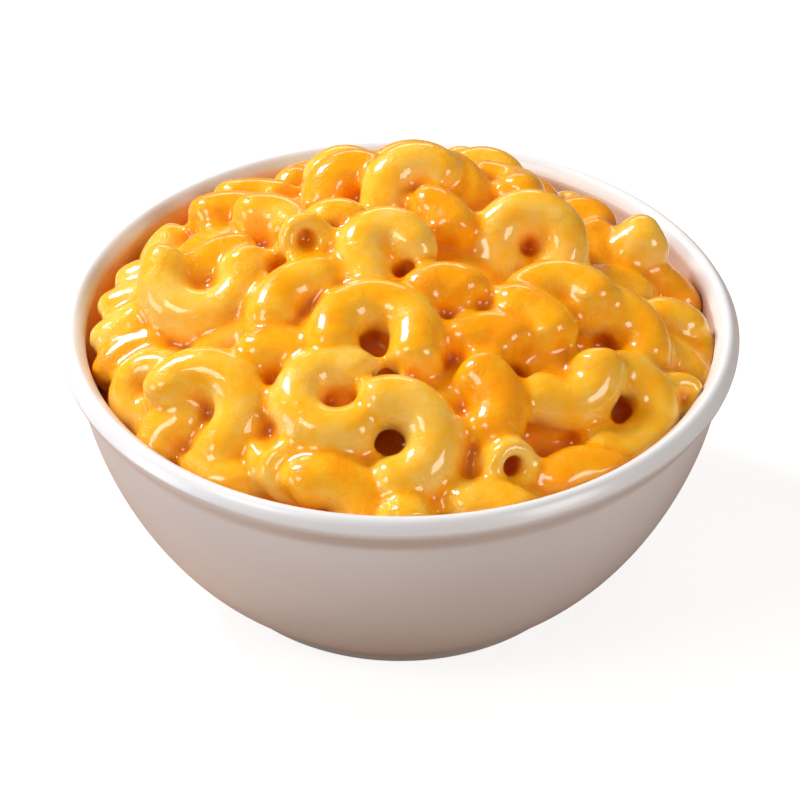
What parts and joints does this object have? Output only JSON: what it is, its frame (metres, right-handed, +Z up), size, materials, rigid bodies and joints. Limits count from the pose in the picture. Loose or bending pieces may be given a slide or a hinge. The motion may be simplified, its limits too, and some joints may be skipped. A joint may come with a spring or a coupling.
{
  "type": "bowl of macaroni and cheese",
  "caption": "Round white bowl on a low foot ring, heaped with elbow macaroni in glossy cheese sauce, rests on a table.",
  "frame": {"origin": "middle of the foot ring's underside, on the surface that the bowl stands on", "axes": "+Z up through the middle of the bowl; -Y towards the viewer, +X to the viewer's right"},
  "size_m": [0.14, 0.14, 0.084],
  "materials": {
    "white_glaze": "gloss",
    "cheese_sauce": "gloss"
  },
  "bodies": {
    "root": {"bowl": "white_glaze", "macaroni_heap": "cheese_sauce"}
  },
  "joints": []
}
